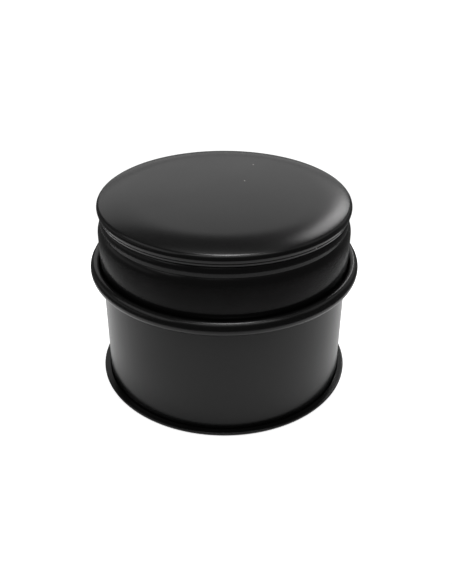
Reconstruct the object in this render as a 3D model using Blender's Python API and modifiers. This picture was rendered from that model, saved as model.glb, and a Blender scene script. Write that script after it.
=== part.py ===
"""Round slip-lid tin with a cake of bow rosin inside.

The tin is turned about the Z axis and stands on Z = 0.  Its wall, bottom end and lid are
sheet metal; inside, two layers of foam hold the cake, which sits in a gathered cloth.
All dimensions below are millimetres; the model itself is in metres.
"""
import math

import bpy

MM = 0.001
SEGMENTS = 48                 # facets round every turned piece
CHORD_ERROR = 0.05            # an arc's facets stay this near the true arc
MERGE = 0.00001               # metres

# sheet metal
GAUGE = 0.22
HALF_GAUGE = GAUGE / 2
GAP = 0.3                     # between pieces that rest on each other
SLIP = 0.1                    # between the lid's skirt and the tin's wall

# lid, outside surfaces
LID_TOP = 47.6                # height of the whole tin, at the crown of the lid
CROWN_R = 21.0                # the flat of the crown ends here ...
CROWN_SLOPE = 2.0             # ... leaning this many degrees
SHOULDER_R = 30.6             # long arc between the crown and the top bead
DISC_R = 29.38                # the top bead's largest radius
DISC_Z = 44.95                # height of the top bead's centre
BEAD_HIGH = 1.11              # its own radius above that height ...
BEAD_LOW = 1.15               # ... and below it
TURN_TO_BEAD = 74.0           # degrees above level, where the arc meets the bead
BEAD_END = -14.0              # degrees, where the bead turns into a band that leans in
BAND_H = 1.22                 # height of the band
STEP_R = 29.0                 # second, smaller bead
STEP_Z = 41.8
STEP_BEAD = 1.5
STEP_TALL = 1.12              # its upper half is an oval
STEP_ARC = (46.0, -16.0)
SKIRT_R = 29.58               # straight skirt
SKIRT_TOP = 38.6
SKIRT_ROUND = 3.3             # rounding from the step down to the skirt
ROUND_START = 42.0            # degrees
CURL_R = 32.0                 # outside of the rolled edge
CURL_Z = 29.7
CURL_TALL = 1.3               # it is an oval, this much taller than wide
CURL_TURN = 300.0             # degrees that the edge is rolled through

# tin
WALL_R = SKIRT_R - GAUGE - SLIP
MOUTH_BEAD = 1.0              # the wall's edge is rolled inwards
MOUTH_Z = 38.0
MOUTH_TURN = 280.0            # degrees that it is rolled through
FOOT_R = 30.95                # folded seam round the bottom
FOOT_H = 1.1
FOOT_CORNER = 0.25            # its flat top ends in a small round
FOOT_ROUND = 0.85             # and its underside in a larger one
FLANGE_R = 30.3               # the wall's turned-out foot, inside the seam
FLANGE_ROUND = 0.35
SEAM_R = 29.56                # inner edge of the seam's top fold
PANEL_R = 27.6                # the bottom's raised panel
PANEL_STEP = 0.6

# contents
FOAM_R = WALL_R - GAUGE - GAP
FOAM_FLOOR_H = 11.4
FOAM_RING_H = 12.0
WELL_R = 23.4
CLOTH_T = 0.8
CLOTH_R = 22.1
CLOTH_LIP_R = 25.4
CLOTH_CORNER = 1.0
CLOTH_LIP_H = 17.3            # lip above the cloth's underside
CLOTH_LIP_START = 110.0       # degrees, on the arc that turns the lip outwards
CAKE_R = 21.0
CAKE_H = 21.0
CAKE_ROUND = 1.2
LINER_R = 25.5
LINER_T = 1.5


def arc(centre, radius, start, end, tall=1.0):
    """Points on an arc about centre (r, z), from angle start to angle end in degrees.

    The arc is stretched upwards by tall, which makes it an oval's."""
    facet = 2 * math.degrees(math.acos(1 - CHORD_ERROR / radius))
    steps = math.ceil(abs(end - start) / facet)
    points = []
    for i in range(steps + 1):
        a = math.radians(start + (end - start) * i / steps)
        points.append((centre[0] + radius * math.cos(a),
                       centre[1] + radius * tall * math.sin(a)))
    return points


def new_collection(name):
    collection = bpy.data.collections.new(name)
    bpy.context.scene.collection.children.link(collection)
    return collection


def material(name, colour, roughness, metallic=0.0):
    made = bpy.data.materials.new(name)
    made.use_nodes = True
    shader = made.node_tree.nodes["Principled BSDF"]
    shader.inputs["Base Color"].default_value = (*colour, 1.0)
    shader.inputs["Roughness"].default_value = roughness
    shader.inputs["Metallic"].default_value = metallic
    return made


def turned(name, profile, surface, collection, closed=False, parent=None):
    """Turn a profile of (r, z) points, given top to bottom along its outer side."""
    mesh = bpy.data.meshes.new(name)
    count = len(profile)
    edges = [(i, i + 1) for i in range(count - 1)]
    if closed:
        edges.append((count - 1, 0))
    mesh.from_pydata([(r * MM, 0.0, z * MM) for r, z in profile], edges, [])
    mesh.materials.append(surface)
    piece = bpy.data.objects.new(name, mesh)
    collection.objects.link(piece)
    piece.parent = parent

    screw = piece.modifiers.new("turn", "SCREW")
    screw.axis = "Z"
    screw.angle = math.tau
    screw.steps = SEGMENTS
    screw.render_steps = SEGMENTS
    screw.use_merge_vertices = True
    screw.merge_threshold = MERGE
    screw.use_smooth_shade = True
    return piece


def sheet(name, centreline, thickness, surface, collection, parent=None):
    """Turn a centreline and give it thickness on both sides."""
    piece = turned(name, centreline, surface, collection, parent=parent)
    shell = piece.modifiers.new("thickness", "SOLIDIFY")
    shell.thickness = thickness * MM
    shell.offset = 0.0
    shell.use_even_offset = True
    return piece


def axis_empty(name, collection):
    """An empty on the tin's axis, from which the pieces of one moving body hang."""
    empty = bpy.data.objects.new(name, None)
    empty.empty_display_size = 10 * MM
    collection.objects.link(empty)
    return empty


def shoulder_centre():
    """Centre of the long arc that runs from the crown to the top bead."""
    a = math.radians(TURN_TO_BEAD)
    reach = BEAD_HIGH - SHOULDER_R
    return (DISC_R - BEAD_HIGH + reach * math.cos(a), DISC_Z + reach * math.sin(a))


def dome(depth, outer_r):
    """The lid's domed top at a depth below its outer surface, from the axis to outer_r."""
    centre = shoulder_centre()
    radius = SHOULDER_R - depth
    end = math.degrees(math.acos((outer_r - centre[0]) / radius))
    rim = arc(centre, radius, 90.0 - CROWN_SLOPE, end)
    crown_drop = LID_TOP - depth - rim[0][1]
    crown = [(0.0, LID_TOP - depth)]
    crown.append((CROWN_R / 2, LID_TOP - depth - crown_drop / 4))
    return crown + rim


def lid_shell(surface, collection, parent):
    """Domed top, two beads, straight skirt and an edge rolled outwards."""
    high_r = BEAD_HIGH - HALF_GAUGE
    high_centre = (DISC_R - BEAD_HIGH, DISC_Z)
    line = dome(HALF_GAUGE, high_centre[0] + high_r * math.cos(math.radians(TURN_TO_BEAD)))
    line += arc(high_centre, high_r, TURN_TO_BEAD, 0.0)[1:]
    line += arc((DISC_R - BEAD_LOW, DISC_Z), BEAD_LOW - HALF_GAUGE, 0.0, BEAD_END)[1:]
    lean = BAND_H * math.tan(math.radians(BEAD_END))
    line.append((line[-1][0] + lean, line[-1][1] - BAND_H))

    step_centre = (STEP_R - STEP_BEAD, STEP_Z)
    line += arc(step_centre, STEP_BEAD - HALF_GAUGE, STEP_ARC[0], 0.0, STEP_TALL)
    line += arc(step_centre, STEP_BEAD - HALF_GAUGE, 0.0, STEP_ARC[1])[1:]

    round_centre = (SKIRT_R - SKIRT_ROUND, SKIRT_TOP)
    line += arc(round_centre, SKIRT_ROUND - HALF_GAUGE, ROUND_START, 0.0)

    skirt = SKIRT_R - HALF_GAUGE
    curl_outer = (CURL_R - skirt + HALF_GAUGE) / 2
    curl_centre = (CURL_R - curl_outer, CURL_Z)
    line += arc(curl_centre, curl_outer - HALF_GAUGE, 180.0, 180.0 + CURL_TURN, CURL_TALL)
    return sheet("lid_shell", line, GAUGE, surface, collection, parent)


def lid_liner(surface, collection, parent):
    """Soft disc stuck under the lid's dome, following its curve."""
    top = dome(GAUGE + GAP, LINER_R)
    under = [(r, z - LINER_T) for r, z in reversed(top)]
    return turned("lid_liner", top + under, surface, collection, parent=parent)


def tin_wall(surface, collection):
    """Straight wall, its mouth rolled inwards and its foot turned out into the seam."""
    wall = WALL_R - HALF_GAUGE
    bead = MOUTH_BEAD - HALF_GAUGE
    flange_z = FOOT_H / 2
    line = arc((wall - bead, MOUTH_Z), bead, MOUTH_TURN, 0.0)
    turn = (wall + FLANGE_ROUND, flange_z + FLANGE_ROUND)
    line += arc(turn, FLANGE_ROUND, 180.0, 270.0)
    line.append((FLANGE_R, flange_z))
    return sheet("tin_wall", line, GAUGE, surface, collection)


def tin_bottom(surface, collection):
    """Bottom end: raised panel, flat foot ring, and an edge folded over the wall's flange."""
    low = HALF_GAUGE
    high = FOOT_H - HALF_GAUGE
    turn_z = FOOT_H - FOOT_CORNER
    line = [(SEAM_R, high)]
    line += arc((FOOT_R - FOOT_CORNER, turn_z), FOOT_CORNER - HALF_GAUGE, 90.0, 0.0)
    line += arc((FOOT_R - FOOT_ROUND, turn_z), FOOT_ROUND - HALF_GAUGE, 0.0, -90.0)[1:]
    line += [(PANEL_R + PANEL_STEP, low), (PANEL_R, high), (PANEL_R / 2, high), (0.0, high)]
    return sheet("tin_bottom", line, GAUGE, surface, collection)


def foam_floor(surface, collection):
    low = FOOT_H + GAP
    high = low + FOAM_FLOOR_H
    profile = [(0.0, high), (FOAM_R, high), (FOAM_R, low), (0.0, low)]
    return turned("foam_floor", profile, surface, collection)


def nest_low():
    """Height at which the foam ring and the cloth rest on the foam floor."""
    return FOOT_H + FOAM_FLOOR_H + 2 * GAP


def foam_ring(surface, collection):
    low = nest_low()
    high = low + FOAM_RING_H
    profile = [(WELL_R, high), (FOAM_R, high), (FOAM_R, low), (WELL_R, low)]
    return turned("foam_ring", profile, surface, collection, closed=True)


def rosin_cloth(surface, collection, parent):
    """Gathered cloth: a cup under and round the cake, with its lip leaning outwards."""
    floor = nest_low() + CLOTH_T / 2
    lip = nest_low() + CLOTH_LIP_H
    flare = CLOTH_LIP_R - CLOTH_R
    line = arc((CLOTH_LIP_R, lip - flare), flare, CLOTH_LIP_START, 180.0)
    line += arc((CLOTH_R - CLOTH_CORNER, floor + CLOTH_CORNER), CLOTH_CORNER, 0.0, -90.0)
    line += [(CLOTH_R / 2, floor), (0.0, floor)]
    return sheet("rosin_cloth", line, CLOTH_T, surface, collection, parent)


def rosin_cake(surface, collection, parent):
    """Cast round cake with softened edges."""
    low = nest_low() + CLOTH_T + GAP
    high = low + CAKE_H
    centre_r = CAKE_R - CAKE_ROUND
    profile = [(0.0, high), (CAKE_R / 2, high)]
    profile += arc((centre_r, high - CAKE_ROUND), CAKE_ROUND, 90.0, 0.0)
    profile += arc((centre_r, low + CAKE_ROUND), CAKE_ROUND, 0.0, -90.0)
    profile += [(CAKE_R / 2, low), (0.0, low)]
    return turned("rosin_cake", profile, surface, collection, parent=parent)


def main():
    for old in list(bpy.data.objects):
        bpy.data.objects.remove(old, do_unlink=True)
    parts = new_collection("rosin_tin")

    lacquer = material("black_lacquer", (0.012, 0.012, 0.012), 0.32)
    liner = material("liner_foam", (0.62, 0.60, 0.55), 0.9)
    foam = material("black_foam", (0.025, 0.025, 0.027), 0.95)
    cloth = material("wine_cloth", (0.16, 0.012, 0.022), 0.9)
    rosin = material("amber_rosin", (0.24, 0.062, 0.008), 0.18)

    tin_wall(lacquer, parts)
    tin_bottom(lacquer, parts)
    foam_floor(foam, parts)
    foam_ring(foam, parts)

    lid_axis = axis_empty("lid_axis", parts)
    lid_shell(lacquer, parts, lid_axis)
    lid_liner(liner, parts, lid_axis)

    cake_axis = axis_empty("cake_axis", parts)
    rosin_cloth(cloth, parts, cake_axis)
    rosin_cake(rosin, parts, cake_axis)


main()
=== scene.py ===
"""The looks of the rosin tin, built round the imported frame.

The tin is turned about Z and stands on Z = 0, with its front towards -Y.  Profiles are worked
out in millimetres as (radius, height) points; meshes, lights and the camera are in metres.
"""
import math

import bpy
import numpy as np
from mathutils import Matrix, Vector


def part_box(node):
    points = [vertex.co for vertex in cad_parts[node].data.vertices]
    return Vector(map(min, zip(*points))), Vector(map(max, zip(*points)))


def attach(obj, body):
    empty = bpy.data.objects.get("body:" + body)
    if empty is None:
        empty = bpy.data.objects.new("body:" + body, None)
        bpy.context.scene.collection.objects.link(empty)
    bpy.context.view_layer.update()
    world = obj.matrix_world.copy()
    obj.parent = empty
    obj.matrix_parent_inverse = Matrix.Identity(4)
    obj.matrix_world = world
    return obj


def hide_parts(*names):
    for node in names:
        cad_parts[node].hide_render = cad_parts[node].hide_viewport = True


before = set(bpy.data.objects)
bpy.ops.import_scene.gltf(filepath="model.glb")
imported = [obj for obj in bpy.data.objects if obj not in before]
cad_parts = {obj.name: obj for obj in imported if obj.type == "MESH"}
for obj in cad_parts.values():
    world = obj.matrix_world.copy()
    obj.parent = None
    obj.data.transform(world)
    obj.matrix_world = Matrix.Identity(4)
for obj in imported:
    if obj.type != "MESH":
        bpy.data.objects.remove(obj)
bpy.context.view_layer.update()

MM = 0.001
FACETS = 288                  # round a turned piece
CHORD_ERROR = 0.004           # an arc's facets stay this near the true arc, mm
EASE_STEP = 0.06              # between the points of an eased line, mm
EASE_SAMPLES = 15             # averaged for each of them


# ---------------------------------------------------------------- sizes, from the frame

def node_box(name):
    """(radius, lowest, highest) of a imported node, in mm."""
    low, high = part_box(name)
    return high[0] / MM, low[2] / MM, high[2] / MM


GAUGE = 0.22                  # sheet metal
HALF_GAUGE = GAUGE / 2
CURL_R, _, LID_TOP = node_box("lid_shell")
FLANGE_R, _, MOUTH_TOP = node_box("tin_wall")
FOOT_R, _, FOOT_TOP = node_box("tin_bottom")
FOAM_R, FLOOR_LOW, FLOOR_TOP = node_box("foam_floor")
_, RING_LOW, RING_TOP = node_box("foam_ring")
_, CLOTH_LOW, LIP_TOP = node_box("rosin_cloth")
CAKE_R, CAKE_LOW, CAKE_TOP = node_box("rosin_cake")
LINER_R, _, LINER_TOP = node_box("lid_liner")

# lid, outside surfaces
CROWN_SLOPE = 2.0             # degrees, where the crown meets the long arc
SHOULDER_R = 30.6             # long arc between the crown and the top bead
DISC_R = 29.38                # the top bead's largest radius ...
DISC_Z = 44.95                # ... and the height where it has it
BEAD_HIGH = 1.11              # the bead's radius above that height ...
BEAD_LOW = 1.15               # ... and below it
TURN_TO_BEAD = 74.0           # degrees, where the long arc meets the bead
BEAD_END = -14.0              # degrees, where the bead turns into a band that leans in
BAND_H = 1.22
LINE_DOWN = 0.62              # a fine pressed line runs round the band, this far down it
LINE_HALF = 0.10              # half its height
LINE_DEEP = 0.10
EASE_REACH = 0.10             # rounding of the corners between the beads
STEP_R = 29.0                 # second, smaller bead
STEP_Z = 41.8
STEP_BEAD = 1.5
STEP_TALL = 1.12              # its upper half is an oval
STEP_ARC = (46.0, -4.0)       # degrees, its first and last
SKIRT_R = 29.58
SKIRT_TOP = 38.6              # below this height the skirt is straight
SKIRT_ROUND = 3.3             # shoulder between the second bead and the skirt
ROUND_START = 39.0            # degrees, its first
CURL_OUTER = (CURL_R - SKIRT_R + GAUGE) / 2
CURL_Z = 29.7                 # middle of the rolled edge
CURL_TALL = 1.3               # which is an oval
CURL_TURN = 300.0             # degrees

# tin
SLIP = 0.1                    # between the lid's skirt and the wall
WALL_R = SKIRT_R - GAUGE - SLIP
MOUTH_BEAD = 1.0              # the wall's edge, rolled inwards
MOUTH_TURN = 280.0            # degrees
FLANGE_ROUND = 0.35
FOOT_CORNER = 0.25            # the seam's flat top ends in a small round
FOOT_ROUND = 0.85             # and its underside in a larger one
SEAM_R = 29.56                # inner edge of the seam's top
PANEL_R = 27.6                # raised panel of the bottom
PANEL_ROUND = 0.35

# contents
WELL_R = 23.4                 # hole in the foam ring
CUT_ROUND = 0.35              # softened edges of punched foam
CUT_BOW = 0.18                # a punched wall is hollow by this much
LINER_T = 1.5
LINER_ROUND = 0.3
CAKE_ROUND = 1.2
CAKE_DISH = 0.35              # the cast top sinks this much inside its rim
CHIPS = 9                     # small chips round the rim
CHIP_SIZES = (0.5, 1.3)       # radii
CLOTH_T = 0.36
CLOTH_CLEAR = 0.14            # left between the cloth and what is beside it
CLOTH_UNDER = 0.05            # left between the cloth and what it rests on
CLOTH_CORNER = 0.9
CLOTH_ROWS = 64
PLEATS = 34
PER_PLEAT = 22                # points round the cloth for each pleat
LEAN_START = 26.4             # height where the cloth's lip begins to lean outwards
LEAN_R = 5.0
LEAN_TURN = 52.0              # degrees
LIP_ROOM = 1.6                # how much deeper the pleats may be at the lip
CLOTH_RADIUS = 39.5           # of the flat round cloth


# ---------------------------------------------------------------- turned shapes

def arc(centre, radius, start, end, tall=1.0):
    """Points on an arc about centre (r, z), from angle start to angle end in degrees.

    The arc is stretched upwards by tall, which makes it an oval's."""
    facet = 2 * math.degrees(math.acos(1 - CHORD_ERROR / radius))
    steps = max(3, math.ceil(abs(end - start) / facet))
    points = []
    for i in range(steps + 1):
        a = math.radians(start + (end - start) * i / steps)
        points.append((centre[0] + radius * math.cos(a),
                       centre[1] + radius * tall * math.sin(a)))
    return points


def straight(start, end, steps):
    """Points from start to end, without the first."""
    return [(start[0] + (end[0] - start[0]) * i / steps,
             start[1] + (end[1] - start[1]) * i / steps) for i in range(1, steps + 1)]


def eased(line, reach):
    """The line with its corners rounded over about twice reach, and its ends kept."""
    p = np.array(line, float)
    length = np.append(0.0, np.cumsum(np.linalg.norm(np.diff(p, axis=0), axis=1)))
    count = math.ceil(length[-1] / EASE_STEP)
    at = np.linspace(0.0, length[-1], count + 1)
    room = np.minimum(at, length[-1] - at)
    half = np.minimum(reach, room)[:, None] * np.linspace(-1.0, 1.0, EASE_SAMPLES)
    near = at[:, None] + half
    return list(zip(np.interp(near, length, p[:, 0]).mean(axis=1),
                    np.interp(near, length, p[:, 1]).mean(axis=1)))


def thicken(line, thickness):
    """Closed profile round a centreline that runs top to bottom along the outer side."""
    p = np.array(line, float)
    along = np.diff(p, axis=0)
    along /= np.linalg.norm(along, axis=1)[:, None]
    left = np.column_stack([-along[:, 1], along[:, 0]])
    first = np.vstack([left[:1], left])
    last = np.vstack([left, left[-1:]])
    mitre = first + last
    mitre *= (2 / np.maximum((mitre ** 2).sum(axis=1), 2.0))[:, None]
    for end in (0, -1):
        if p[end, 0] < 1e-6:
            mitre[end] = (0.0, math.copysign(1.0, mitre[end, 1]))
    side = mitre * thickness / 2
    return [tuple(v) for v in np.vstack([p + side, (p - side)[::-1]])]


def turned(name, profile, closed=False):
    """Turn a profile about Z.  Points on the axis become the poles."""
    angles = np.arange(FACETS) * math.tau / FACETS
    cos, sin = np.cos(angles), np.sin(angles)
    verts, rings = [], []
    for r, z in profile:
        if r < 1e-6:
            rings.append([len(verts)])
            verts.append((0.0, 0.0, z * MM))
        else:
            rings.append(list(range(len(verts), len(verts) + FACETS)))
            verts += zip(r * MM * cos, r * MM * sin, [z * MM] * FACETS)
    faces = []
    for upper, lower in zip(rings, rings[1:] + (rings[:1] if closed else [])):
        for k in range(FACETS):
            n = (k + 1) % FACETS
            if len(upper) == 1 and len(lower) == 1:
                break
            if len(upper) == 1:
                faces.append((upper[0], lower[k], lower[n]))
            elif len(lower) == 1:
                faces.append((upper[k], lower[0], upper[n]))
            else:
                faces.append((upper[k], lower[k], lower[n], upper[n]))
    return piece(name, verts, faces)


def piece(name, verts, faces, sharp=35.0):
    """A smooth-shaded mesh object."""
    mesh = bpy.data.meshes.new(name)
    mesh.from_pydata([tuple(map(float, v)) for v in verts], [], faces)
    mesh.update()
    mesh.shade_smooth()
    mesh.set_sharp_from_angle(angle=math.radians(sharp))
    made = bpy.data.objects.new(name, mesh)
    bpy.context.scene.collection.objects.link(made)
    return made


# ---------------------------------------------------------------- node helpers

class Nodes:
    """A material's node tree, with short calls to add nodes to it."""

    def __init__(self, name):
        self.material = bpy.data.materials.new(name)
        self.material.use_nodes = True
        self.tree = self.material.node_tree
        self.shader = self.tree.nodes["Principled BSDF"]
        self.place = self.add("ShaderNodeTexCoord").outputs["Object"]

    def add(self, kind, **values):
        node = self.tree.nodes.new(kind)
        for key, value in values.items():
            setattr(node, key, value)
        return node

    def put(self, socket, value):
        """Set a socket's value, or link an output to it."""
        if isinstance(value, bpy.types.NodeSocket):
            self.tree.links.new(value, socket)
        else:
            socket.default_value = value

    def set(self, **values):
        """Set the shader's inputs; underscores in a name stand for spaces."""
        for key, value in values.items():
            self.put(self.shader.inputs[key.replace("_", " ")], value)

    def noise(self, scale, detail=3.0, roughness=0.5, place=None, distortion=0.0):
        node = self.add("ShaderNodeTexNoise")
        self.put(node.inputs["Vector"], place or self.place)
        self.put(node.inputs["Scale"], scale)
        self.put(node.inputs["Detail"], detail)
        self.put(node.inputs["Roughness"], roughness)
        self.put(node.inputs["Distortion"], distortion)
        return node.outputs["Fac"]

    def cells(self, scale, output="Distance", feature="F1", place=None):
        node = self.add("ShaderNodeTexVoronoi", feature=feature)
        self.put(node.inputs["Vector"], place or self.place)
        self.put(node.inputs["Scale"], scale)
        return node.outputs[output]

    def span(self, value, low, high, new_low=0.0, new_high=1.0):
        """Map low..high to new_low..new_high, held at both ends."""
        node = self.add("ShaderNodeMapRange", clamp=True)
        for socket, number in zip(node.inputs, (value, low, high, new_low, new_high)):
            self.put(socket, number)
        return node.outputs["Result"]

    def math(self, operation, a, b=0.0):
        node = self.add("ShaderNodeMath", operation=operation)
        self.put(node.inputs[0], a)
        self.put(node.inputs[1], b)
        return node.outputs[0]

    def mix(self, factor, a, b):
        """Blend two colours, each an RGB triple or an output."""
        node = self.add("ShaderNodeMix", data_type="RGBA")
        self.put(node.inputs["Factor"], factor)
        for socket, colour in ((node.inputs[6], a), (node.inputs[7], b)):
            self.put(socket, (*colour, 1.0) if isinstance(colour, tuple) else colour)
        return node.outputs[2]

    def bump(self, height, distance, strength=1.0, after=None):
        """Raise the surface by height (0 to 1) times distance, in metres."""
        node = self.add("ShaderNodeBump")
        self.put(node.inputs["Height"], height)
        self.put(node.inputs["Distance"], distance)
        self.put(node.inputs["Strength"], strength)
        if after is not None:
            self.put(node.inputs["Normal"], after)
        return node.outputs["Normal"]


# ---------------------------------------------------------------- materials

def lacquer():
    """Satin black lacquer with a slight orange peel and a few pale specks of dust."""
    n = Nodes("satin_lacquer")
    peel = n.noise(2600.0, detail=2.0)
    handled = n.noise(60.0, detail=4.0)
    speck = n.cells(420.0)
    chosen = n.cells(420.0, output="Color")
    rare = n.add("ShaderNodeSeparateColor")
    n.put(rare.inputs[0], chosen)
    dust = n.math("MULTIPLY", n.span(speck, 0.05, 0.10, 1.0, 0.0),
                  n.span(rare.outputs[0], 0.985, 0.99))
    n.set(Base_Color=n.mix(dust, (0.003, 0.003, 0.003), (0.35, 0.34, 0.32)),
          Roughness=n.span(handled, 0.3, 0.7, 0.21, 0.26),
          Specular_IOR_Level=0.3, Normal=n.bump(peel, 0.000004))
    return n.material


def pale_floor():
    """White paper, lit so evenly that the camera sees it as white nearly up to the tin."""
    n = Nodes("pale_floor")
    fibre = n.noise(900.0, detail=3.0)
    seen = n.add("ShaderNodeLightPath").outputs["Is Camera Ray"]
    n.set(Base_Color=n.mix(fibre, (0.80, 0.80, 0.80), (0.84, 0.84, 0.84)), Roughness=0.95,
          Specular_IOR_Level=0.0, Emission_Color=(1.0, 1.0, 1.0, 1.0),
          Emission_Strength=n.span(seen, 0.0, 1.0, FLOOR_GLOW, FLOOR_WHITE))
    return n.material


def cell_foam(name, shaded_pit_colour, pale, cell):
    """Cut open-cell foam: pits of a size in metres, with painted shade in them and lighter walls
    between them.
    """
    n = Nodes(name)
    pit = n.cells(1.0 / cell)
    small = n.cells(2.6 / cell)
    depth = n.math("MULTIPLY", n.span(pit, 0.10, 0.55), n.span(small, 0.05, 0.5, 0.55, 1.0))
    tone = n.noise(110.0, detail=5.0)
    # painted shade: the colour darkens towards each pit's middle; the tone noise also varies it
    # at random
    shade = n.math("MULTIPLY", depth, n.span(tone, 0.3, 0.7, 0.75, 1.0))
    pits = n.bump(depth, 0.00022, strength=0.9)
    n.set(Base_Color=n.mix(shade, shaded_pit_colour, pale), Roughness=0.95, Specular_IOR_Level=0.25,
          Sheen_Weight=0.15, Sheen_Roughness=0.6,
          Normal=n.bump(tone, 0.0004, strength=0.5, after=pits))
    return n.material


def velvet():
    """Short-pile cloth: a nap brushed lighter and darker, fibres too fine to count, and a painted
    highlight on the pleats' crests.
    """
    n = Nodes("wine_velvet")
    brushed = n.noise(230.0, detail=4.0, roughness=0.6, distortion=0.8)
    fibre = n.noise(5200.0, detail=2.0)
    crease = n.noise(420.0, detail=3.0, distortion=1.2)
    # painted highlight: where the cloth is most convex, on the pleats' crests, it is drawn
    # lighter
    crest_highlight = n.span(n.add("ShaderNodeNewGeometry").outputs["Pointiness"], 0.50, 0.58)
    nap = n.math("MULTIPLY", n.span(brushed, 0.32, 0.68), n.span(fibre, 0.25, 0.75, 0.7, 1.0))
    colour = n.mix(nap, (0.050, 0.0025, 0.008), (0.155, 0.009, 0.022))
    # mixes the painted highlight colour onto the crests
    colour = n.mix(n.math("MULTIPLY", crest_highlight, 0.45), colour, (0.26, 0.028, 0.050))
    pile = n.bump(fibre, 0.00009, strength=0.7)
    n.set(Base_Color=colour, Roughness=n.span(brushed, 0.3, 0.7, 0.82, 0.95),
          Specular_IOR_Level=0.2, Sheen_Weight=0.5, Sheen_Roughness=0.4,
          Sheen_Tint=(1.0, 0.42, 0.48, 1.0),
          Normal=n.bump(crease, 0.00035, strength=0.5, after=pile))
    return n.material


def cast_rosin():
    """Clear dark amber with a cast skin, a few bow strokes across its top, and some dust."""
    n = Nodes("amber_rosin")
    depth = n.noise(55.0, detail=3.0, distortion=0.6)
    swirl = n.noise(170.0, detail=4.0, distortion=1.6)
    strokes_place = n.add("ShaderNodeMapping")
    n.put(strokes_place.inputs["Vector"], n.place)
    strokes_place.inputs["Rotation"].default_value = (0.0, 0.0, math.radians(14.0))
    strokes_place.inputs["Scale"].default_value = (0.035, 1.0, 0.3)
    hairs = n.noise(5200.0, detail=3.0, roughness=0.65, place=strokes_place.outputs[0])
    across = n.add("ShaderNodeSeparateXYZ")
    n.put(across.inputs[0], strokes_place.outputs[0])
    uneven = n.math("MULTIPLY", n.noise(140.0, detail=2.0), 0.006)
    off_middle = n.math("ADD", n.math("ABSOLUTE", across.outputs[1]), uneven)
    up = n.add("ShaderNodeSeparateXYZ")
    n.put(up.inputs[0], n.add("ShaderNodeNewGeometry").outputs["Normal"])
    top = n.span(up.outputs[2], 0.80, 0.97)
    rubbed = n.math("MULTIPLY", top, n.span(off_middle, 0.007, 0.013, 1.0, 0.0))
    scratch = n.math("MULTIPLY", rubbed, n.span(hairs, 0.52, 0.66))
    dust = n.math("MULTIPLY", n.span(n.noise(1500.0, detail=4.0), 0.60, 0.75),
                  n.span(swirl, 0.4, 0.7, 0.12, 0.45))
    amber = n.mix(depth, (0.170, 0.032, 0.0025), (0.340, 0.085, 0.007))
    amber = n.mix(n.math("MULTIPLY", scratch, 0.20), amber, (0.72, 0.50, 0.24))
    amber = n.mix(dust, amber, (0.80, 0.66, 0.45))
    smooth = n.math("MAXIMUM", n.span(swirl, 0.3, 0.7, 0.06, 0.15),
                    n.math("MULTIPLY", rubbed, 0.20))
    skin = n.bump(swirl, 0.00016, strength=0.35)
    n.set(Base_Color=amber, Roughness=n.math("MAXIMUM", smooth, n.math("MULTIPLY", dust, 0.8)),
          IOR=1.54, Subsurface_Weight=0.55, Subsurface_Scale=0.004,
          Subsurface_Radius=(1.0, 0.35, 0.06), Coat_Weight=0.25, Coat_Roughness=0.05,
          Normal=n.bump(hairs, 0.00003, strength=0.35, after=skin))
    return n.material


# ---------------------------------------------------------------- the tin

def dress(made, body, slot, surface, *replaced):
    """Give a piece its material and the body it rides on, and hide the CAD nodes it stands for.
    """
    made.data.materials.append(surface)
    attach(made, body)
    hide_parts(*replaced)
    return made


def shoulder_centre():
    a = math.radians(TURN_TO_BEAD)
    reach = BEAD_HIGH - SHOULDER_R
    return (DISC_R - BEAD_HIGH + reach * math.cos(a), DISC_Z + reach * math.sin(a))


def dome(depth, outer_r):
    """The lid's domed top at a depth below its outer surface, from the axis to outer_r."""
    centre = shoulder_centre()
    radius = SHOULDER_R - depth
    end = math.degrees(math.acos((outer_r - centre[0]) / radius))
    rim = arc(centre, radius, 90.0 - CROWN_SLOPE, end)
    crown_r, crown_z = rim[0]
    drop = LID_TOP - depth - crown_z
    steps = 24
    crown = [(crown_r * i / steps, LID_TOP - depth - drop * (i / steps) ** 2)
             for i in range(steps)]
    return crown + rim


def lid_profile():
    """Centreline of the lid's sheet, from the axis to the end of the rolled edge."""
    high_r = BEAD_HIGH - HALF_GAUGE
    high_centre = (DISC_R - BEAD_HIGH, DISC_Z)
    line = dome(HALF_GAUGE, high_centre[0] + high_r * math.cos(math.radians(TURN_TO_BEAD)))
    line += arc(high_centre, high_r, TURN_TO_BEAD, 0.0)[1:]
    beads = arc((DISC_R - BEAD_LOW, DISC_Z), BEAD_LOW - HALF_GAUGE, 0.0, BEAD_END)
    lean = math.tan(math.radians(BEAD_END))
    band_r, band_z = beads[-1]
    for down, deep in ((LINE_DOWN - LINE_HALF, 0.0), (LINE_DOWN, LINE_DEEP),
                       (LINE_DOWN + LINE_HALF, 0.0), (BAND_H, 0.0)):
        beads.append((band_r + lean * down - deep, band_z - down))
    step_centre = (STEP_R - STEP_BEAD, STEP_Z)
    beads += arc(step_centre, STEP_BEAD - HALF_GAUGE, STEP_ARC[0], 0.0, STEP_TALL)
    beads += arc(step_centre, STEP_BEAD - HALF_GAUGE, 0.0, STEP_ARC[1])[1:]
    beads += arc((SKIRT_R - SKIRT_ROUND, SKIRT_TOP), SKIRT_ROUND - HALF_GAUGE,
                 ROUND_START, 0.0)
    line += eased(beads, EASE_REACH)[1:]
    curl = arc((CURL_R - CURL_OUTER, CURL_Z), CURL_OUTER - HALF_GAUGE,
               180.0, 180.0 + CURL_TURN, CURL_TALL)
    line += straight(line[-1], curl[0], 6)
    return line + curl[1:]


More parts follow.
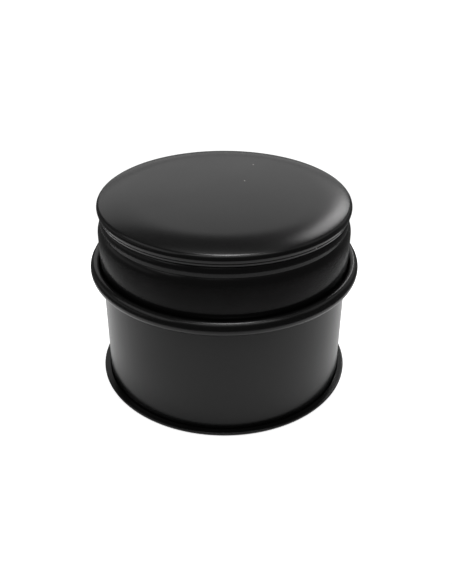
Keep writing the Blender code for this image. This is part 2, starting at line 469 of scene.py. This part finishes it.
def wall_profile():
    """Centreline of the wall's sheet, from its rolled mouth to its flange in the seam."""
    wall = WALL_R - HALF_GAUGE
    bead = MOUTH_BEAD - HALF_GAUGE
    line = arc((wall - bead, MOUTH_TOP - MOUTH_BEAD), bead, MOUTH_TURN, 0.0)
    turn = (wall + FLANGE_ROUND, FOOT_TOP / 2 + FLANGE_ROUND)
    bend = arc(turn, FLANGE_ROUND, 180.0, 270.0)
    line += straight(line[-1], bend[0], 16)
    line += bend[1:]
    return line + straight(line[-1], (FLANGE_R, FOOT_TOP / 2), 2)


def bottom_profile():
    """Centreline of the bottom's sheet, from the seam's top round the foot to the axis."""
    low = HALF_GAUGE
    high = FOOT_TOP - HALF_GAUGE
    turn_z = FOOT_TOP - FOOT_CORNER
    corner = arc((FOOT_R - FOOT_CORNER, turn_z), FOOT_CORNER - HALF_GAUGE, 90.0, 0.0)
    line = [(SEAM_R, high)] + straight((SEAM_R, high), corner[0], 4) + corner[1:]
    line += arc((FOOT_R - FOOT_ROUND, turn_z), FOOT_ROUND - HALF_GAUGE, 0.0, -90.0)[1:]
    step = PANEL_ROUND
    line += arc((PANEL_R + 2 * step, low + step), step, 270.0, 180.0)
    line += arc((PANEL_R, high - step), step, 0.0, 90.0)
    return line + straight(line[-1], (0.0, high), 8)


def make_tin(black):
    lid = turned("lid_shell_drawn", thicken(lid_profile(), GAUGE))
    dress(lid, "lid", "black_lacquer", black, "lid_shell")
    wall = turned("tin_wall_drawn", thicken(wall_profile(), GAUGE), closed=True)
    dress(wall, "tin", "black_lacquer", black, "tin_wall")
    bottom = turned("tin_bottom_seamed", thicken(bottom_profile(), GAUGE))
    dress(bottom, "tin", "black_lacquer", black, "tin_bottom")


# ---------------------------------------------------------------- foam

def cut_wall(r, low, high, bow):
    """The hollow side of a punched foam piece, from its top to its bottom edge."""
    points = []
    steps = 12
    for i in range(steps + 1):
        z = high - (high - low) * i / steps
        points.append((r + bow * (1 - (2 * i / steps - 1) ** 2), z))
    return points


def punched(name, outer_r, inner_r, low, high):
    """A punched foam piece: a disc, or a ring where inner_r isn't 0."""
    e = CUT_ROUND
    outer = arc((outer_r - e, high - e), e, 90.0, 0.0)[:-1]
    outer += cut_wall(outer_r, low + e, high - e, -CUT_BOW)
    outer += arc((outer_r - e, low + e), e, 0.0, -90.0)[1:]
    if inner_r:
        inner = arc((inner_r + e, low + e), e, 270.0, 180.0)[:-1]
        inner += cut_wall(inner_r, low + e, high - e, CUT_BOW)[::-1]
        inner += arc((inner_r + e, high - e), e, 180.0, 90.0)[1:]
        return turned(name, outer + inner, closed=True)
    top = [(outer_r * i / 8, high) for i in range(8)]
    return turned(name, top + outer + [(r, low) for r, _ in top[::-1]])


def liner_profile():
    """The pad under the dome: it follows the dome's curve, and its edge is rounded."""
    gap = LID_TOP - LINER_TOP
    e = LINER_ROUND
    top = dome(gap, LINER_R - e)
    edge_r, edge_z = top[-1]
    rim = arc((edge_r, edge_z - e), e, 80.0, 0.0)
    rim += arc((edge_r, edge_z - LINER_T + e), e, 0.0, -80.0)
    return top + rim + [(r, z - LINER_T) for r, z in reversed(top)]


def make_foam(foam, liner):
    floor = punched("foam_floor_disc", FOAM_R, 0.0, FLOOR_LOW, FLOOR_TOP)
    dress(floor, "tin", "black_foam", foam, "foam_floor")
    ring = punched("foam_nest_ring", FOAM_R, WELL_R, RING_LOW, RING_TOP)
    dress(ring, "tin", "black_foam", foam, "foam_ring")
    pad = turned("lid_liner_pad", liner_profile())
    dress(pad, "lid", "liner_foam", liner, "lid_liner")


# ---------------------------------------------------------------- rosin

def make_cake(rosin):
    """The cast cake: a dished top inside a rounded rim, with a few small chips in it."""
    e = CAKE_ROUND
    inner = CAKE_R - e
    steps = 40
    top = []
    for i in range(steps):
        x = i / steps
        dish = CAKE_DISH * (1 - x ** 6) * (1 - 0.15 * math.cos(math.pi * x))
        top.append((inner * x, CAKE_TOP - dish))
    side = arc((inner, CAKE_TOP - e), e, 90.0, 0.0)
    side += straight(side[-1], (CAKE_R, CAKE_LOW + e), 24)
    side += arc((inner, CAKE_LOW + e), e, 0.0, -90.0)[1:]
    made = turned("rosin_cake_cast", top + side + [(inner / 2, CAKE_LOW), (0.0, CAKE_LOW)])

    rng = np.random.default_rng(7)
    chips = []
    for _ in range(CHIPS):
        a = rng.uniform(0, math.tau)
        size = rng.uniform(*CHIP_SIZES)
        out = 0.45 * size - 0.35      # the centre is outside the rim, so the bite is shallow
        centre = ((CAKE_R + out) * math.cos(a), (CAKE_R + out) * math.sin(a), CAKE_TOP + out)
        chips.append((Vector(centre) * MM, size * MM))
    for v in made.data.vertices:
        for centre, size in chips:
            off = v.co - centre
            if off.length < size:
                v.co = centre + off.normalized() * size
    made.data.shade_smooth()
    made.data.set_sharp_from_angle(angle=math.radians(25.0))
    dress(made, "cake", "amber_rosin", rosin, "rosin_cake")


# ---------------------------------------------------------------- cloth

def cloth_line(steps):
    """The cloth's middle surface, as if it had no pleats: rows of (length along the cloth
    from its centre, radius, height, lean), evenly spaced, with lean in radians."""
    floor = CLOTH_LOW + CLOTH_T / 2 + CLOTH_UNDER
    wall = (CAKE_R + WELL_R) / 2
    c = CLOTH_CORNER
    points = [(wall - c, floor)]
    points += arc((wall - c, floor + c), c, -90.0, 0.0)[1:]
    points.append((wall, LEAN_START))
    points += arc((wall + LEAN_R, LEAN_START), LEAN_R, 180.0, 180.0 - LEAN_TURN)[1:]
    p = np.array(points)
    length = np.append(0.0, np.cumsum(np.linalg.norm(np.diff(p, axis=0), axis=1)))
    length += wall - c
    spare = 8.0
    p = np.vstack([p, p[-1] + (p[-1] - p[-2]) / np.linalg.norm(p[-1] - p[-2]) * spare])
    length = np.append(length, length[-1] + spare)
    at = np.linspace(wall - c, CLOTH_RADIUS, steps)
    r, z = np.interp(at, length, p[:, 0]), np.interp(at, length, p[:, 1])
    lean = np.arctan2(np.gradient(r, at), np.gradient(z, at))
    return np.column_stack([at, r, z, lean])


def pleat_depth(gathering):
    """How steep a wave has to be for its length to be gathering times its span."""
    steep = np.linspace(0.0, 6.0, 121)
    phase = np.linspace(0.0, math.tau, 400)
    longer = np.sqrt(1 + (steep[:, None] * np.sin(phase)) ** 2).mean(axis=1)
    return np.interp(gathering, longer, steep)


def make_cloth(velvet):
    """A round cloth gathered up round the cake.  Each ring of it keeps the length that it
    has in the flat cloth, as far as the space between the cake and the foam allows."""
    rng = np.random.default_rng(11)
    around = PLEATS * PER_PLEAT
    theta = np.arange(around) * math.tau / around
    line = cloth_line(CLOTH_ROWS)

    def ripple(lowest, highest, size):
        waves = range(lowest, highest + 1)
        return sum(size * rng.uniform(0.5, 1.0) / len(waves) ** 0.5
                   * np.sin(k * theta + rng.uniform(0, math.tau)) for k in waves)

    phase = PLEATS * theta + ripple(2, 15, 2.6)
    drift = ripple(2, 9, 1.5)
    depth_share = np.maximum(0.35, 1 + ripple(4, 26, 0.34))
    sharp = ripple(3, 20, 0.30)
    lean_side = ripple(4, 18, 0.6)
    lip_lift = ripple(2, 11, 0.75) + ripple(12, 40, 0.22)
    spread = ripple(2, 7, 0.55)
    soft = ripple(5, 24, 0.8)

    verts, faces = [], []
    room = (WELL_R - CAKE_R) / 2 - CLOTH_T / 2 - CLOTH_CLEAR
    for at, r, z, lean in line:
        up = min(1.0, max(0.0, (z - RING_TOP) / (LIP_TOP - RING_TOP)))
        rise = min(1.0, (z - CLOTH_LOW) / (LIP_TOP - CLOTH_LOW))
        depth = pleat_depth(at / r) * r / PLEATS
        limit = room + LIP_ROOM * up
        turn = phase + drift * rise ** 1.5 + 0.35 * soft * np.sin(5.0 * rise + soft)
        wave = np.cos(turn + (0.4 * sharp + 0.35 * lean_side) * np.sin(turn))
        wave = wave * (1 - 0.22 * up * np.abs(sharp)) + 0.16 * up * np.cos(0.5 * turn + sharp)
        share = 1 + (depth_share - 1) * up
        off = np.clip(depth * share, 0, limit) * wave
        off += up * spread + 0.45 * up * np.maximum(off, 0)
        hook = 0.55 * lean_side * np.sin(2 * turn) / PLEATS * up + 0.2 * np.sin(2 * turn) / PLEATS
        ring_r = r + off * math.cos(lean)
        ring_z = z - off * math.sin(lean) + lip_lift * up ** 1.5
        verts += zip(ring_r * np.cos(theta + hook) * MM, ring_r * np.sin(theta + hook) * MM,
                     ring_z * MM)
    for row in range(len(line) - 1):
        for k in range(around):
            n = (k + 1) % around
            faces.append((row * around + k, row * around + n,
                          (row + 1) * around + n, (row + 1) * around + k))
    inner_rings = 6
    floor_z = line[0][2] * MM
    edge = 0
    for ring in range(1, inner_rings):
        r = line[0][1] * (1 - ring / inner_rings) * MM
        start = len(verts)
        verts += zip(r * np.cos(theta), r * np.sin(theta), [floor_z] * around)
        for k in range(around):
            n = (k + 1) % around
            faces.append((start + k, start + n, edge + n, edge + k))
        edge = start
    verts.append((0.0, 0.0, floor_z))
    faces += [(len(verts) - 1, edge + (k + 1) % around, edge + k)[::-1] for k in range(around)]

    cloth = piece("rosin_cloth_gathered", verts, faces, sharp=180.0)
    shell = cloth.modifiers.new("thickness", "SOLIDIFY")
    shell.thickness = CLOTH_T * MM
    shell.offset = 0.0
    dress(cloth, "cake", "wine_cloth", velvet, "rosin_cloth")


# ---------------------------------------------------------------- the studio

# softboxes: name, degrees round from the back towards +X, degrees up, width and height
# in degrees as the tin sees them, brightness
SOFTBOXES = (
    ("overhead", 0.0, 84.0, 12.0, 24.0, 11.5),
    ("overhead_right", 75.0, 84.0, 8.0, 12.0, 15.0),
    ("overhead_back", 10.0, 68.0, 40.0, 12.0, 0.5),
    ("front_top", 170.0, 68.0, 50.0, 14.0, 3.0),
    ("front_fill", 160.0, 50.0, 60.0, 12.0, 0.60),
    ("backdrop", -7.0, 27.0, 56.0, 24.0, 0.76),
    ("backdrop_low", 0.0, 6.0, 50.0, 10.0, 0.45),
    ("backdrop_right", 50.0, 24.0, 30.0, 30.0, 0.34),
    ("strip_right", 25.5, 34.0, 7.0, 26.0, 4.8),
    ("side_left", -105.0, 42.0, 50.0, 26.0, 0.95),
    ("side_right", 85.0, 42.0, 34.0, 26.0, 0.50),
    ("low_left", -90.0, 9.0, 60.0, 16.0, 0.30),
)
SOFTBOX_DISTANCE = 1.2
DARK_ROOM = 0.11              # what the tin sees between the softboxes
WHITE_GROUND = 1.1            # what the camera sees behind the floor
TABLE_R = 0.076               # the floor ends in the dark beyond this radius, metres
FLOOR_GLOW = 0.24             # of the floor, besides the light that falls on it ...
FLOOR_WHITE = 0.80            # ... and as the camera sees it


def softbox(name, azimuth, elevation, wide, high, brightness):
    """A rectangular light that faces the tin, with an even brightness over its face."""
    a, e = math.radians(azimuth), math.radians(elevation)
    towards = Vector((math.sin(a) * math.cos(e), math.cos(a) * math.cos(e), math.sin(e)))
    data = bpy.data.lights.new(name, "AREA")
    data.shape = "RECTANGLE"
    data.size = 2 * SOFTBOX_DISTANCE * math.tan(math.radians(wide / 2))
    data.size_y = 2 * SOFTBOX_DISTANCE * math.tan(math.radians(high / 2))
    data.energy = brightness * math.pi * data.size * data.size_y
    light = bpy.data.objects.new(name, data)
    light.location = towards * SOFTBOX_DISTANCE
    light.rotation_euler = (-towards).to_track_quat("-Z", "Y").to_euler()
    light.visible_camera = False
    bpy.context.scene.collection.objects.link(light)


CAMERA_AT = (0.00045, -0.1547, 0.1148)   # solved from the tin's outline in the photograph
CAMERA_DOWN = 0.5509          # radians below the horizontal
CAMERA_ROLL = 0.003
LENS = 44.83                  # on a 36 mm sensor


def make_camera():
    """The photograph's view: from in front, looking down at 32 degrees."""
    data = bpy.data.cameras.new("camera")
    data.sensor_width = 36.0
    data.lens = LENS
    data.clip_start, data.clip_end = 0.01, 10.0
    camera = bpy.data.objects.new("camera", data)
    camera.location = CAMERA_AT
    tilt = Matrix.Rotation(math.pi / 2 - CAMERA_DOWN, 3, "X")
    roll = Matrix.Rotation(CAMERA_ROLL, 3, "Z")
    camera.rotation_euler = (tilt @ roll).to_euler()
    bpy.context.scene.collection.objects.link(camera)
    bpy.context.scene.camera = camera


def make_studio():
    """World, floor and softboxes.  The camera sees white ground; the tin sees a dark room
    and a small table."""
    scene = bpy.context.scene
    scene.view_settings.view_transform = "Standard"
    world = bpy.data.worlds.new("studio")
    world.use_nodes = True
    scene.world = world
    tree = world.node_tree
    seen = tree.nodes.new("ShaderNodeLightPath").outputs["Is Camera Ray"]
    level = tree.nodes.new("ShaderNodeMapRange")
    tree.links.new(seen, level.inputs["Value"])
    level.inputs["To Min"].default_value = DARK_ROOM
    level.inputs["To Max"].default_value = WHITE_GROUND
    background = tree.nodes["Background"]
    background.inputs["Color"].default_value = (1.0, 1.0, 1.0, 1.0)
    tree.links.new(level.outputs["Result"], background.inputs["Strength"])

    rim = [(TABLE_R * math.cos(math.tau * k / FACETS), TABLE_R * math.sin(math.tau * k / FACETS),
            0.0) for k in range(FACETS)]
    floor = piece("studio_floor", rim, [tuple(range(FACETS))])
    floor.data.materials.append(pale_floor())
    for box in SOFTBOXES:
        softbox(*box)


black = lacquer()
make_tin(black)
# each foam's colours: first the painted shade in the pits, then the lighter walls between them
make_foam(cell_foam("black_foam", (0.004, 0.004, 0.0045), (0.040, 0.040, 0.043), 0.0007),
          cell_foam("liner_foam", (0.30, 0.28, 0.23), (0.66, 0.63, 0.56), 0.00045))
make_cake(cast_rosin())
make_cloth(velvet())
make_camera()
make_studio()
